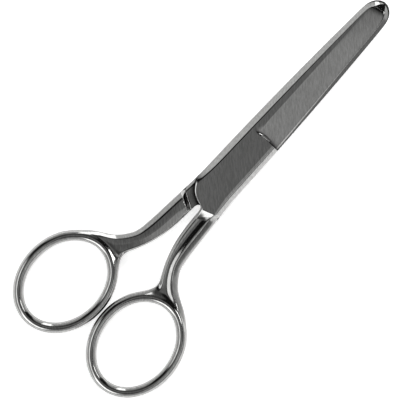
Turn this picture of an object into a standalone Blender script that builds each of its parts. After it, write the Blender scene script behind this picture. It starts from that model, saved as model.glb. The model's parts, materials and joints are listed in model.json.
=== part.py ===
"""First aid scissors, closed and lying flat.

Two forged halves of the same form cross at a slotted pivot screw. Each half is one piece of steel:
a blade with a blunt round tip, a rounded root, a shank and an oval finger ring. Metres, +Z up, the
tips point along +X, and the origin is on the surface below the middle of the scissors.
"""

from math import cos, hypot, inf, pi, radians, sin, sqrt, tan

import bmesh
import bpy
from mathutils import Vector
from mathutils.geometry import interpolate_bezier

MM = 0.001

# Clearance between the halves, between the rings and round the screw
RUNNING_GAP = 0.30 * MM

# The two forgings of a pair are never quite the same length: each differs by this share
PAIR_SPREAD = 0.0045

# Blade, measured from the pivot axis towards the tips
BLADE_REACH = 73.5 * MM
ROOT_WIDTH = 12.4 * MM
MIDDLE_WIDTH = 11.1 * MM
TIP_WIDTH = 8.4 * MM
TIP_ROUND = 5.5 * MM
NOSE_RUN = 3.7 * MM
NOSE_DROP = 1.1 * MM
ROOT_THICKNESS = 2.2 * MM
TIP_THICKNESS = 1.3 * MM

# Bevel along the back of the blade, measured across it
SPINE_BEVEL = 1.85 * MM
SPINE_BEVEL_AT_ROOT = 1.2 * MM
SPINE_BEVEL_AT_TIP = 1.3 * MM
SPINE_BEVEL_RUN = 5.2 * MM
SPINE_BEVEL_ANGLE = radians(42.0)

# Ground face, cutting bevel and hollow of the inner face
PLUNGE = 20.6 * MM
PLUNGE_RUN = 0.4 * MM
GROUND_LINE_START = 1.8 * MM
GROUND_LINE_END = 2.5 * MM
CUTTING_BEVEL_START = 0.35 * MM
CUTTING_BEVEL_END = 1.15 * MM
CUTTING_BEVEL_FULL_SHARE = 0.7
CUTTING_ANGLE = radians(30.0)
EDGE_LAND = 0.20 * MM
INNER_HOLLOW = 0.12 * MM
LINE_LIMIT = 0.9
TIP_LINE_LIMIT = 0.45

# Rounded root on the side of the back, and the softened edge opposite
ROOT_CORNER = 1.0 * MM
ROOT_ARC_RADIUS = 6.45 * MM
ROOT_ARC_DROP = 0.6 * MM
ROOT_RIM = 0.60 * MM
EDGE_ROUNDING = 1.5 * MM
EDGE_DROP = 1.0 * MM
INNER_EDGE_RIM = 0.3 * MM

# Shank, from the step in the inner face to the ring
SHANK_OFFSET = 6.7 * MM
SHANK_ROOT_WIDTH = 5.8 * MM
SHANK_NECK_WIDTH = 4.92 * MM
SHANK_THICKNESS = 3.7 * MM
STEP_RADIUS = 9.0 * MM
STEP_RUN = 1.1 * MM
CROTCH = 6.95 * MM
SIDE_BEVEL_WIDTH = 0.95 * MM
SIDE_BEVEL_DROP = 0.75 * MM
SHOULDER_BOW = -0.3 * MM
STEP_HEAD_SHARE = 0.70
BEVEL_FADE_SPANS = 2

# Finger ring
RING_REACH = 49.3 * MM
RING_OPENING_LENGTH = 27.1 * MM
RING_OPENING_WIDTH = 21.0 * MM
RING_BAND = 3.2 * MM
RING_THICKNESS = 3.3 * MM
RING_TILT = radians(4.7)
WEB_FILLET = 3.7 * MM
WEB_THICKNESS = 2.9 * MM
WEB_BOW = 0.9 * MM

# Pivot screw
SCREW_RADIUS = 1.75 * MM
SCREW_HEAD_RADIUS = 3.0 * MM
SCREW_HEAD_RIM = 0.25 * MM
SCREW_SLOT_WIDTH = 0.8 * MM
SCREW_SLOT_DEPTH = 0.7 * MM
SCREW_COVER = 0.45 * MM
ROUND_STEPS = 32

# Finishes
NICKEL_TONE = 0.62
NICKEL_ROUGHNESS = 0.18
SCREW_TONE = 0.55
SCREW_ROUGHNESS = 0.30
BLUE_SHARE = 0.98
SHARP_ANGLE = radians(35.0)

# Edges of the shank in plan: pulls of their curves as shares of the distance they cover
INNER_LEAVING_SHARES = (0.38, 0.0)
INNER_ARRIVING_SHARES = (0.67, 0.15)
NECK_SHARE = 0.81
OUTER_LEAVING_SHARES = (0.28, 0.04)
KNEE_PULL_SHARES = (0.17, 0.42)
WEB_PULL_SHARE = 0.58
WEB_CORNER_SHARE = 0.49
WEB_START_SHARE = 0.33
WEB_END_SHARE = 0.87

# Sections of the root and the shank: (share of the width, share of half the thickness)
ROOT_MIDDLE_SHARE = 0.42
CROWN_MIDDLE_SHARE = 0.45
CROWN_AT_STEP_SHARES = ((0.02, 0.40), (0.16, 0.70), (0.40, 0.66), (0.64, 0.84), (0.98, 0.26))
CROWN_AT_MIDDLE_SHARES = ((0.02, 0.46), (0.16, 0.86), (0.40, 0.80), (0.60, 1.06), (0.98, 0.30))
CROWN_AT_WEB_SHARES = ((0.02, 0.46), (0.14, 0.82), (0.32, 0.78), (0.55, 1.06), (0.98, 0.34))
UNDERSIDE_SHARES = ((0.02, -0.50), (0.09, -0.92), (0.42, -1.04), (0.74, -0.95), (0.98, -0.30))

# Where the sections cross the tip, the ground face, the level root and its arc
TIP_TURNS = (82, 68, 52, 36, 18)
GROUND_SPANS = 7
RICASSO_SHARES = (1.0, 0.94, 0.6, 0.25, 0.06)
ROOT_ARC_TURNS = (115, 134, 153, 172)

# Sharpness of the lengthwise lines of each zone, by their place round the section
GROUND_CREASES = {1: 1.0, 2: 1.0, 3: 0.9, 4: 1.0, 5: 1.0, 7: 1.0, 11: 1.0}
RICASSO_CREASES = {1: 1.0, 2: 1.0, 4: 0.35, 5: 0.35, 7: 0.8, 11: 1.0}
ROOT_CREASES = {1: 0.9, 2: 0.9, 4: 0.35, 5: 0.35, 7: 0.7, 8: 0.9, 11: 0.9}
STEP_CREASES = {1: 0.5, 2: 0.5, 4: 0.7, 7: 0.7, 8: 0.9, 11: 0.4}
SHANK_CREASES = {1: 0.5, 2: 0.6, 4: 0.85, 7: 0.6, 8: 0.9, 9: 0.8, 10: 0.8, 11: 0.5}

# Sharpness of the lines that run across
ACROSS_CREASES = {"tip": 1.0, "plunge foot": 0.4, "plunge": 1.0, "shoulder": 0.9, "step": 0.8}

# The ring's cage has a span for each step round it, and the shank joins it over the first few
JUNCTION_FROM = radians(33.0)
JUNCTION_TO = radians(-50.0)
JUNCTION_SPANS = 4
FREE_SPANS = 20
RING_POINTS = 8

# Where the sections cross the shank: share of its inner edge, share of its outer edge
SHANK_SECTION_SHARES = (
    (0.13, 0.13),
    (0.25, 0.22),
    (0.375, 0.29),
    (0.50, 0.36),
    (0.625, 0.42),
    (0.75, 0.49),
    (0.875, 0.63),
    (0.965, 0.75),
)
EDGE_STEPS = 48

# Points nearer to each other than this are one point
SAME_POINT = 1e-6

GAP_HALF = RUNNING_GAP / 2
ROUND_START = BLADE_REACH - TIP_ROUND


def mix(a, b, share):
    """The value a share of the way from a to b."""
    return a + (b - a) * share


def half_width(x):
    """Half the blade's width at x: one smooth curve through its three widths."""
    middle = BLADE_REACH / 2
    at_root = (x - middle) * (x - ROUND_START) / (middle * ROUND_START)
    at_middle = x * (x - ROUND_START) / (middle * (middle - ROUND_START))
    at_tip = x * (x - middle) / (ROUND_START * (ROUND_START - middle))
    return (ROOT_WIDTH * at_root + MIDDLE_WIDTH * at_middle + TIP_WIDTH * at_tip) / 2


def blade_top(x):
    """Height of the outer face: level at the root, thinner from the plunge to the tip."""
    share = min(max((x - PLUNGE) / (BLADE_REACH - PLUNGE), 0.0), 1.0)
    return GAP_HALF + mix(ROOT_THICKNESS, TIP_THICKNESS, share)


def spine_bevel(x):
    """Width of the bevel on the back: narrower at the root and at the tip."""
    if x < SPINE_BEVEL_RUN:
        share = (x + ROOT_CORNER) / (SPINE_BEVEL_RUN + ROOT_CORNER)
        return mix(SPINE_BEVEL_AT_ROOT, SPINE_BEVEL, share)
    share = max((x - PLUNGE) / (ROUND_START - PLUNGE), 0.0)
    return mix(SPINE_BEVEL, SPINE_BEVEL_AT_TIP, share * share)


def section(back, edge, outer, inner, sides, bow=0.0):
    """Twelve points round one section, from its back over the outer face to the edge, and back below.

    outer and inner are five (share, height) pairs from the back to the edge, sides are the two
    heights between them, and bow is how far the section curves forward at its middle.
    """
    back, edge = Vector(back), Vector(edge)
    across = edge - back
    ahead = Vector((-across.y, across.x)).normalized()

    def point(share, z):
        at = back + across * share + ahead * (bow * 4 * share * (1 - share))
        return Vector((at.x, at.y, z))

    loop = [point(0.0, sides[0])]
    loop += [point(share, z) for share, z in outer]
    loop += [point(1.0, sides[1])]
    loop += [point(share, z) for share, z in reversed(inner)]
    return loop


def across_blade(width, places):
    """Turn (y, z) places across a blade of this half width into (share, z)."""
    return [((width - y) / (2 * width), z) for y, z in places]


def ricasso_section(x):
    """Blade between the root and the plunge: level on top, with a softened edge."""
    width, top = half_width(x), blade_top(x)
    bevel = spine_bevel(x)
    side = top - bevel * tan(SPINE_BEVEL_ANGLE)
    low = top - EDGE_DROP
    outer = [
        (width, side),
        (width - bevel, top),
        (GROUND_LINE_START, top),
        (EDGE_ROUNDING - width, top),
        (-width, low),
    ]
    inner = [
        (width, GAP_HALF),
        (width - bevel, GAP_HALF),
        (GROUND_LINE_START, GAP_HALF),
        (EDGE_ROUNDING - width, GAP_HALF),
        (-width, GAP_HALF),
    ]
    sides = (mix(GAP_HALF, side, 0.5), mix(GAP_HALF, low, 0.5))
    return section(
        (x, width), (x, -width), across_blade(width, outer), across_blade(width, inner), sides
    )


def ground_section(x):
    """Blade beyond the plunge: unground strip, ground face and cutting bevel."""
    width, top = half_width(x), blade_top(x)
    share = min((x - PLUNGE) / (ROUND_START - PLUNGE), 1.0)
    bevel = spine_bevel(x)
    cut = mix(CUTTING_BEVEL_START, CUTTING_BEVEL_END, min(share / CUTTING_BEVEL_FULL_SHARE, 1.0))
    ground = min(mix(GROUND_LINE_START, GROUND_LINE_END, share), (width - bevel) * LINE_LIMIT)
    side = top - bevel * tan(SPINE_BEVEL_ANGLE)
    low = GAP_HALF + EDGE_LAND
    outer = [
        (width, side),
        (width - bevel, top),
        (ground, top),
        (cut - width, low + cut * tan(CUTTING_ANGLE)),
        (-width, low),
    ]
    inner = [
        (width, GAP_HALF),
        (width - bevel, GAP_HALF),
        (0.0, GAP_HALF + INNER_HOLLOW),
        (CUTTING_BEVEL_END - width, GAP_HALF),
        (-width, GAP_HALF),
    ]
    sides = (mix(GAP_HALF, side, 0.5), GAP_HALF + EDGE_LAND / 2)
    return section(
        (x, width), (x, -width), across_blade(width, outer), across_blade(width, inner), sides
    )


def tip_section(turn):
    """Slice of the round tip: an ellipse in outline, both bevels run on round it, and its nose drops."""
    run = TIP_ROUND * sin(turn)
    width = TIP_WIDTH / 2 * cos(turn)
    x = ROUND_START + run
    flat_top = blade_top(x)

    def inset(distance):
        reach = TIP_ROUND - distance
        return (TIP_WIDTH / 2 - distance) * sqrt(max(1 - (run / reach) ** 2, 0.0))

    side = blade_top(ROUND_START) - SPINE_BEVEL_AT_TIP * tan(SPINE_BEVEL_ANGLE)
    side -= blade_top(ROUND_START) - flat_top
    past = max(run - (TIP_ROUND - NOSE_RUN), 0.0) / NOSE_RUN
    top = flat_top - NOSE_DROP * past * past
    low = GAP_HALF + EDGE_LAND
    bevel_line = max(inset(SPINE_BEVEL_AT_TIP), width * TIP_LINE_LIMIT)
    cut_line = max(inset(CUTTING_BEVEL_END), width * TIP_LINE_LIMIT)
    ground = min(GROUND_LINE_END, bevel_line * LINE_LIMIT)
    cut_top = min(low + (width - cut_line) * tan(CUTTING_ANGLE), top)
    outer = [(width, side), (bevel_line, top), (ground, top), (-cut_line, cut_top), (-width, low)]
    inner = [
        (width, GAP_HALF),
        (bevel_line, GAP_HALF),
        (0.0, GAP_HALF),
        (-cut_line, GAP_HALF),
        (-width, GAP_HALF),
    ]
    sides = (mix(GAP_HALF, side, 0.5), GAP_HALF + EDGE_LAND / 2)
    return section(
        (x, width), (x, -width), across_blade(width, outer), across_blade(width, inner), sides
    )


def ring_centre():
    """Middle of the finger ring: the two rings of the closed scissors all but touch."""
    outer_length = RING_OPENING_LENGTH / 2 + RING_BAND
    outer_width = RING_OPENING_WIDTH / 2 + RING_BAND
    reach = hypot(outer_length * sin(RING_TILT), outer_width * cos(RING_TILT))
    return Vector((-RING_REACH, -(reach + GAP_HALF)))


def on_ring(turn, length, width):
    """Point of the oval with these half axes round the ring's middle, and its outward direction."""
    point = Vector((length * cos(turn), width * sin(turn)))
    outward = Vector((width * cos(turn), length * sin(turn))).normalized()
    spin = (cos(RING_TILT), sin(RING_TILT))

    def tilted(v):
        return Vector((v.x * spin[0] - v.y * spin[1], v.x * spin[1] + v.y * spin[0]))

    return ring_centre() + tilted(point), tilted(outward)


def ring_outline(turn):
    """Point on the ring's outer outline."""
    return on_ring(turn, RING_OPENING_LENGTH / 2 + RING_BAND, RING_OPENING_WIDTH / 2 + RING_BAND)[0]


def ring_sections():
    """Eight points round the band at each station of the ring, from the junction round to it again.

    Subdivision draws a cage in, so the cage is wider by the known factor of a regular polygon:
    its corners end at a third of (2 + the cosine of the step) of their distance from the middle.
    """
    junction = (JUNCTION_TO - JUNCTION_FROM) / JUNCTION_SPANS
    free = (-2 * pi - (JUNCTION_TO - JUNCTION_FROM)) / FREE_SPANS
    turns = [JUNCTION_FROM + junction * i for i in range(JUNCTION_SPANS)]
    turns += [JUNCTION_TO + free * i for i in range(FREE_SPANS)]
    wider_oval = 3 / (2 + cos(free))
    wider_band = 3 / (2 + cos(2 * pi / RING_POINTS))
    length = (RING_OPENING_LENGTH + RING_BAND) / 2 * wider_oval
    width = (RING_OPENING_WIDTH + RING_BAND) / 2 * wider_oval
    sections = []
    for turn in turns:
        middle, outward = on_ring(turn, length, width)
        loop = []
        for i in range(RING_POINTS):
            angle = 2 * pi * i / RING_POINTS
            side = middle + outward * (RING_BAND / 2 * wider_band * cos(angle))
            loop.append(Vector((side.x, side.y, RING_THICKNESS / 2 * wider_band * sin(angle))))
        sections.append(loop)
    return sections


def curve_through(start, start_pull, end_pull, end):
    """Points of the smooth curve from start to end that leaves and arrives along the two pulls."""
    ends = [Vector((p.x, p.y, 0.0)) for p in (start, start_pull, end_pull, end)]
    return [v.to_2d() for v in interpolate_bezier(*ends, EDGE_STEPS + 1)]


def at_share(points, share):
    """Point a share of the way along a list of points."""
    place = share * (len(points) - 1)
    index = min(int(place), len(points) - 2)
    return points[index].lerp(points[index + 1], place - index)


def shank_edges():
    """Inner and outer edge of the shank in plan, from the crotch of the root to the ring."""
    crotch = Vector((-CROTCH, SHANK_ROOT_WIDTH - SHANK_OFFSET))
    corner = ring_outline(JUNCTION_FROM) + Vector((WEB_FILLET, -WEB_FILLET * WEB_CORNER_SHARE))
    way = corner - crotch
    leaving = Vector((way.x * INNER_LEAVING_SHARES[0], way.y * INNER_LEAVING_SHARES[1]))
    arriving = Vector((way.x * INNER_ARRIVING_SHARES[0], way.y * INNER_ARRIVING_SHARES[1]))
    inner = curve_through(crotch, crotch + leaving, crotch + arriving, corner)
    neck = at_share(inner, NECK_SHARE)
    along = (at_share(inner, NECK_SHARE + 1 / EDGE_STEPS) - neck).normalized()
    knee = neck + Vector((-along.y, along.x)) * SHANK_NECK_WIDTH
    start = Vector((-sqrt(STEP_RADIUS**2 - SHANK_OFFSET**2), -SHANK_OFFSET))
    meeting = ring_outline(JUNCTION_TO)
    round_ring = (ring_outline(JUNCTION_TO - radians(1)) - meeting).normalized()
    first = (knee - start).length
    second = (meeting - knee).length
    start_pull = start - Vector(OUTER_LEAVING_SHARES) * first
    outer = curve_through(start, start_pull, knee - along * (KNEE_PULL_SHARES[0] * first), knee)
    knee_pull = knee + along * (KNEE_PULL_SHARES[1] * second)
    outer += curve_through(knee, knee_pull, meeting - round_ring * (WEB_PULL_SHARE * second), meeting)[1:]
    return inner, outer


def root_profile(span, rim, top, bevelled=1.0):
    """(share, height) pairs of the root: a narrow rim, a level top and the softened edge.

    bevelled is the share of the bevel that the inner face has along the outer edge.
    """
    low = top - EDGE_DROP
    outer = [
        (0.0, top - rim),
        (rim / span, top),
        (ROOT_MIDDLE_SHARE, top),
        (1 - EDGE_ROUNDING / span, top),
        (1.0, low),
    ]
    bevel = max(SIDE_BEVEL_WIDTH * bevelled, INNER_EDGE_RIM)
    under = GAP_HALF + SIDE_BEVEL_DROP * bevelled
    inner = [(share, GAP_HALF) for share, _ in outer[:3]]
    inner += [(1 - bevel / span, GAP_HALF), (1.0, under)]
    return outer, inner, (mix(GAP_HALF, top, 0.5), mix(under, low, 0.5))


def mix_pairs(a, b, share):
    """Pairs a share of the way from one list of pairs to another."""
    return [(mix(p[0], q[0], share), mix(p[1], q[1], share)) for p, q in zip(a, b)]


def shank_profile(share):
    """(share, height) pairs of the shank at this share of its length.

    The outer face has a shallow flute and a ridge that starts near the outer edge and ends in the
    middle of the web. The inner face has two faint facets and a bevel along the outer edge.
    """
    half = mix(SHANK_THICKNESS, WEB_THICKNESS, share) / 2
    if share < CROWN_MIDDLE_SHARE:
        crown = mix_pairs(CROWN_AT_STEP_SHARES, CROWN_AT_MIDDLE_SHARES, share / CROWN_MIDDLE_SHARE)
    else:
        beyond = (share - CROWN_MIDDLE_SHARE) / (1 - CROWN_MIDDLE_SHARE)
        crown = mix_pairs(CROWN_AT_MIDDLE_SHARES, CROWN_AT_WEB_SHARES, beyond)
    outer = [(place, half * height) for place, height in crown]
    inner = [(place, half * height) for place, height in UNDERSIDE_SHARES]
    return outer, inner, (0.0, 0.0)


def root_sections(inner_edge, outer_edge):
    """Sections from the blade's corner round the rounded root to the foot of the step."""
    top = blade_top(0.0)
    arc_centre = Vector((0.0, -ROOT_ARC_DROP))
    backs = [Vector((-ROOT_CORNER, half_width(-ROOT_CORNER)))]
    rims = [SPINE_BEVEL_AT_ROOT]
    for turn in map(radians, ROOT_ARC_TURNS):
        backs.append(arc_centre + Vector((cos(turn), sin(turn))) * ROOT_ARC_RADIUS)
        rims.append(ROOT_RIM)
    backs.append(inner_edge[0])
    rims.append(ROOT_RIM)
    start = outer_edge[0]
    sections = []
    for i, (back, rim) in enumerate(zip(backs, rims)):
        share = (i + 1) / (len(backs) + 1)
        edge = Vector((ROOT_CORNER, -half_width(0.0))).lerp(start, share)
        bevelled = min(max((i - 1) / BEVEL_FADE_SPANS, 0.0), 1.0)
        outer, inner, sides = root_profile((edge - back).length, rim, top, bevelled)
        bow = SHOULDER_BOW if i == len(backs) - 1 else 0.0
        sections.append(section(back, edge, outer, inner, sides, bow))
    return sections


def step_sections(inner_edge, outer_edge):
    """The step, an arc round the pivot that clears the other half: its head and its foot."""
    top = blade_top(0.0)
    sections = []
    for radius, outer_share, inner_share in (
        (STEP_RADIUS, STEP_HEAD_SHARE, 0.0),
        (STEP_RADIUS + STEP_RUN, 1.0, 1.0),
    ):
        back = next(p for p in inner_edge if p.length >= radius)
        edge = next(p for p in outer_edge if p.length >= radius - SAME_POINT)
        root_outer, root_inner, root_sides = root_profile((edge - back).length, ROOT_RIM, top)
        outer, inner, sides = shank_profile(0.0)
        sections.append(
            section(
                back,
                edge,
                mix_pairs(root_outer, outer, outer_share),
                mix_pairs(root_inner, inner, inner_share),
                (mix(root_sides[0], sides[0], outer_share), mix(root_sides[1], sides[1], outer_share)),
            )
        )
    return sections


def shank_sections(inner_edge, outer_edge):
    """Sections of the shank, and the last one, bowed round the ring, in the web."""
    sections = []
    for along_inner, along_outer in SHANK_SECTION_SHARES:
        outer, inner, sides = shank_profile(along_inner)
        back, edge = at_share(inner_edge, along_inner), at_share(outer_edge, along_outer)
        sections.append(section(back, edge, outer, inner, sides))
    outer, inner, sides = shank_profile(1.0)
    back = inner_edge[-1].lerp(ring_outline(JUNCTION_FROM), WEB_START_SHARE)
    edge = at_share(outer_edge, WEB_END_SHARE)
    sections.append(section(back, edge, outer, inner, sides, WEB_BOW))
    return sections


def half_loops():
    """All the sections of a half from its tip to the web, with the sharpness of each line."""
    inner_edge, outer_edge = shank_edges()
    loops = [tip_section(radians(turn)) for turn in TIP_TURNS]
    for i in range(GROUND_SPANS + 1):
        loops.append(ground_section(mix(ROUND_START, PLUNGE + PLUNGE_RUN, i / GROUND_SPANS)))
    ground_loops = len(loops)
    for share in RICASSO_SHARES:
        loops.append(ricasso_section(PLUNGE * share))
    root_start = len(loops)
    loops += root_sections(inner_edge, outer_edge)
    step_start = len(loops)
    loops += step_sections(inner_edge, outer_edge)
    shank_start = len(loops)
    loops += shank_sections(inner_edge, outer_edge)
    return loops, (ground_loops, root_start, step_start, shank_start)


def sharpness(line, index, starts):
    """Crease of a lengthwise line of the section, numbered round it, after loop index."""
    ground_loops, root_start, step_start, shank_start = starts
    if index < ground_loops - 1:
        return GROUND_CREASES.get(line, 0.0)
    if index < root_start:
        return RICASSO_CREASES.get(line, 0.0)
    if index < step_start:
        return ROOT_CREASES.get(line, 0.0)
    if index < shank_start:
        return STEP_CREASES.get(line, 0.0)
    return SHANK_CREASES.get(line, 0.0)


def half_mesh(stretch):
    """The cage of one half: a loft from the tip to the web that opens into the side of the ring."""
    loops, starts = half_loops()
    rings = ring_sections()
    bm = bmesh.new()
    crease = bm.edges.layers.float.new("crease_edge")
    rows = [[bm.verts.new(point) for point in loop] for loop in loops]
    ring_rows = [[bm.verts.new(point) for point in loop] for loop in rings]
    count = len(rows[0])

    def join(a, b):
        for i in range(len(a)):
            j = (i + 1) % len(a)
            bm.faces.new((a[i], a[j], b[j], b[i]))

    for a, b in zip(rows, rows[1:]):
        join(a, b)
    bm.faces.new(rows[0])
    stations = len(ring_rows)
    for k in range(stations):
        a, b = ring_rows[k], ring_rows[(k + 1) % stations]
        for i in range(RING_POINTS):
            if k < JUNCTION_SPANS and i in (0, RING_POINTS - 1):
                continue
            j = (i + 1) % RING_POINTS
            bm.faces.new((a[i], a[j], b[j], b[i]))
    side = ring_rows[: JUNCTION_SPANS + 1]
    mouth = [side[0][0]] + [row[1] for row in side] + [side[-1][0]]
    mouth += [row[RING_POINTS - 1] for row in reversed(side)]
    join(rows[-1], mouth)
    loose = [v for v in bm.verts if not v.link_faces]
    bmesh.ops.delete(bm, geom=loose, context="VERTS")

    for index, (a, b) in enumerate(zip(rows, rows[1:])):
        for line in range(count):
            bm.edges.get((a[line], b[line]))[crease] = sharpness(line, index, starts)
    ground_loops, _, step_start, _ = starts
    across = [("tip", 0, i) for i in range(count)]
    across += [("plunge foot", ground_loops - 1, i) for i in (3, 4)]
    across += [("plunge", ground_loops, i) for i in (3, 4)]
    across += [("shoulder", step_start - 1, i) for i in range(1, 5)]
    across += [("step", row, i) for row in (step_start, step_start + 1) for i in range(7, 11)]
    for line, row, i in across:
        edge = bm.edges.get((rows[row][i], rows[row][(i + 1) % count]))
        edge[crease] = ACROSS_CREASES[line]
    bmesh.ops.scale(bm, vec=(stretch, 1.0, 1.0), verts=bm.verts)
    bmesh.ops.recalc_face_normals(bm, faces=bm.faces)
    mesh = bpy.data.meshes.new("half")
    bm.to_mesh(mesh)
    bm.free()
    mesh.shade_smooth()
    mesh.set_sharp_from_angle(angle=SHARP_ANGLE)
    return mesh


def steel(name, tone, roughness):
    """Bright nickel plate on steel."""
    material = bpy.data.materials.new(name)
    material.use_nodes = True
    shader = material.node_tree.nodes["Principled BSDF"]
    shader.inputs["Base Color"].default_value = (tone, tone, tone * BLUE_SHARE, 1.0)
    shader.inputs["Metallic"].default_value = 1.0
    shader.inputs["Roughness"].default_value = roughness
    return material


def turned(name, profile, collection):
    """A round piece on the pivot axis from its (radius, height) profile, read from the top down."""
    mesh = bpy.data.meshes.new(name)
    points = [(radius, 0.0, z) for radius, z in profile]
    mesh.from_pydata(points, [(i, i + 1) for i in range(len(points) - 1)], [])
    obj = bpy.data.objects.new(name, mesh)
    collection.objects.link(obj)
    screw = obj.modifiers.new("turn", "SCREW")
    screw.axis = "Z"
    screw.steps = ROUND_STEPS
    screw.render_steps = ROUND_STEPS
    screw.use_merge_vertices = True
    screw.merge_threshold = SAME_POINT
    return obj


def screw_profile(clearance):
    """Outline of the pivot screw from its blind end down to its head, grown by a clearance."""
    top = GAP_HALF + ROOT_THICKNESS - SCREW_COVER - RUNNING_GAP + clearance
    bottom = -(GAP_HALF + ROOT_THICKNESS)
    shaft = SCREW_RADIUS + clearance
    head = SCREW_HEAD_RADIUS + clearance
    rim = bottom + SCREW_HEAD_RIM + clearance * tan(pi / 8)
    below = bottom - (RUNNING_GAP if clearance else 0.0)
    neck = rim + SCREW_HEAD_RADIUS - SCREW_RADIUS
    return [(0.0, top), (shaft, top), (shaft, neck), (head, rim), (head, below), (0.0, below)]


def cut(obj, cutter, name):
    """Cut the cutter's shape out of the object."""
    modifier = obj.modifiers.new(name, "BOOLEAN")
    modifier.operation = "DIFFERENCE"
    modifier.solver = "EXACT"
    modifier.object = cutter
    cutter.hide_render = True
    cutter.display_type = "WIRE"


def make_half(name, stretch, material, bore, parts):
    """One half: the forging's cage, subdivided, and bored for the screw."""
    obj = bpy.data.objects.new(name, half_mesh(stretch))
    parts.objects.link(obj)
    obj.data.materials.append(material)
    subdivide = obj.modifiers.new("forging", "SUBSURF")
    subdivide.levels = 1
    subdivide.render_levels = 1
    cut(obj, bore, "bore")
    return obj


def make_screw(parts, cutters):
    """The slotted countersunk screw, its head level with the outer face of the bottom half."""
    screw = turned("pivot_screw", screw_profile(0.0), parts)
    bottom = -(GAP_HALF + ROOT_THICKNESS)
    bpy.ops.mesh.primitive_cube_add(size=1.0, location=(0.0, 0.0, bottom))
    slot = bpy.context.object
    slot.name = "slot_cutter"
    # Half of the cutter is in the metal, and it is longer than the head is wide
    slot.scale = (SCREW_SLOT_WIDTH, SCREW_HEAD_RADIUS * 3, SCREW_SLOT_DEPTH * 2)
    for owner in list(slot.users_collection):
        owner.objects.unlink(slot)
    cutters.objects.link(slot)
    cut(screw, slot, "slot")
    screw.data.materials.append(steel("screw_steel", SCREW_TONE, SCREW_ROUGHNESS))
    return screw, slot


def lowest_and_highest(objects):
    """Corners of the box round the objects as they are evaluated."""
    graph = bpy.context.evaluated_depsgraph_get()
    low = Vector((inf, inf, inf))
    high = -low
    for obj in objects:
        evaluated = obj.evaluated_get(graph)
        for vertex in evaluated.data.vertices:
            at = evaluated.matrix_world @ vertex.co
            low = Vector(map(min, low, at))
            high = Vector(map(max, high, at))
    return low, high


def main():
    """Build the three pieces, then stand them on the surface below their middle."""
    for obj in list(bpy.data.objects):
        bpy.data.objects.remove(obj)
    parts = bpy.data.collections.new("first_aid_scissors")
    cutters = bpy.data.collections.new("cutters")
    for collection in (parts, cutters):
        bpy.context.scene.collection.children.link(collection)
    pivot = bpy.data.objects.new("pivot", None)
    parts.objects.link(pivot)

    bore = turned("bore_cutter", screw_profile(RUNNING_GAP), cutters)
    finish = steel("nickel_plate", NICKEL_TONE, NICKEL_ROUGHNESS)
    top = make_half("top_half", 1 - PAIR_SPREAD, finish, bore, parts)
    bottom = make_half("bottom_half", 1 + PAIR_SPREAD, finish, bore, parts)
    bottom.rotation_euler = (pi, 0.0, 0.0)
    screw, slot = make_screw(parts, cutters)
    for obj in (bore, top, bottom, screw, slot):
        obj.parent = pivot
    bpy.context.view_layer.update()
    low, high = lowest_and_highest((top, bottom, screw))
    pivot.location = (-(low.x + high.x) / 2, -(low.y + high.y) / 2, -low.z)
    bpy.context.view_layer.update()
    print("pivot axis at", [round(value / MM, 4) for value in pivot.location], "mm")


main()
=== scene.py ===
"""First aid scissors lying closed on a pale table, dressed in bright nickel plate.

The two forged halves are lofted again with finer sections than the solids, their bevels, step and
rings follow the same sizes, and the pivot screw is turned again with its slot and softened rims.
"""

import json
import logging
from dataclasses import dataclass, field
from enum import Enum, IntEnum
from math import cos, hypot, pi, radians, sin, sqrt, tan
from typing import Iterable, Sequence

import bmesh
import bpy
from bmesh.types import BMesh, BMVert
from mathutils import Matrix, Vector
from mathutils.geometry import interpolate_bezier


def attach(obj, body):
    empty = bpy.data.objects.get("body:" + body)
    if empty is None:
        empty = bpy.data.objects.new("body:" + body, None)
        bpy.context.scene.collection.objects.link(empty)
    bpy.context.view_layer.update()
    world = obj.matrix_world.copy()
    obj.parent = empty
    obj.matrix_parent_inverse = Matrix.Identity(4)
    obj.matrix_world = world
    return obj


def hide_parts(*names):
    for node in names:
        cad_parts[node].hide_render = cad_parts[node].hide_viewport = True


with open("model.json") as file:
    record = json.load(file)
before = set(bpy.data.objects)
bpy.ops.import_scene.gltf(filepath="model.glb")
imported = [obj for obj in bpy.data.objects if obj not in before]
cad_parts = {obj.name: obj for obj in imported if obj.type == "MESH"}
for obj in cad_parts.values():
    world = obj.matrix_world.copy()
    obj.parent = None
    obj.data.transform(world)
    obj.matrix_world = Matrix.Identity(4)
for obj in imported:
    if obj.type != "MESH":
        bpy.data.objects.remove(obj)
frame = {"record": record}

MM = 0.001
WELD = 0.001 * MM
log = logging.getLogger("first_aid_scissors")

Pair = tuple[float, float]
Socket = bpy.types.NodeSocket
Sections = list[list[Vector]]


class Side(Enum):
    """Which of the two halves of the pair: its name, its body and its share of extra length.

    The bottom half's ring lies a little farther out than the top half's, as in the photograph.
    """

    TOP = ("top_half", "top", -0.0045)
    BOTTOM = ("bottom_half", "bottom", 0.0045)

    @property
    def node(self) -> str:
        """Name of the solid that the half stands for."""
        return self.value[0]

    @property
    def body(self) -> str:
        """Name of the body that the half moves with."""
        return self.value[1]

    @property
    def stretch(self) -> float:
        """Length of the half as a share of the drawn length."""
        return 1.0 + self.value[2]


class Zone(IntEnum):
    """The stretches of a forging, in order from its tip to its web."""

    GROUND = 0
    RICASSO = 1
    ROOT = 2
    STEP = 3
    SHANK = 4


def mix(a: float, b: float, share: float) -> float:
    """Return the value a share of the way from a to b."""
    return a + (b - a) * share


def mix_pairs(a: Sequence[Pair], b: Sequence[Pair], share: float) -> list[Pair]:
    """Return the pairs a share of the way from one list of pairs to another."""
    return [(mix(p[0], q[0], share), mix(p[1], q[1], share)) for p, q in zip(a, b)]


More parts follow.
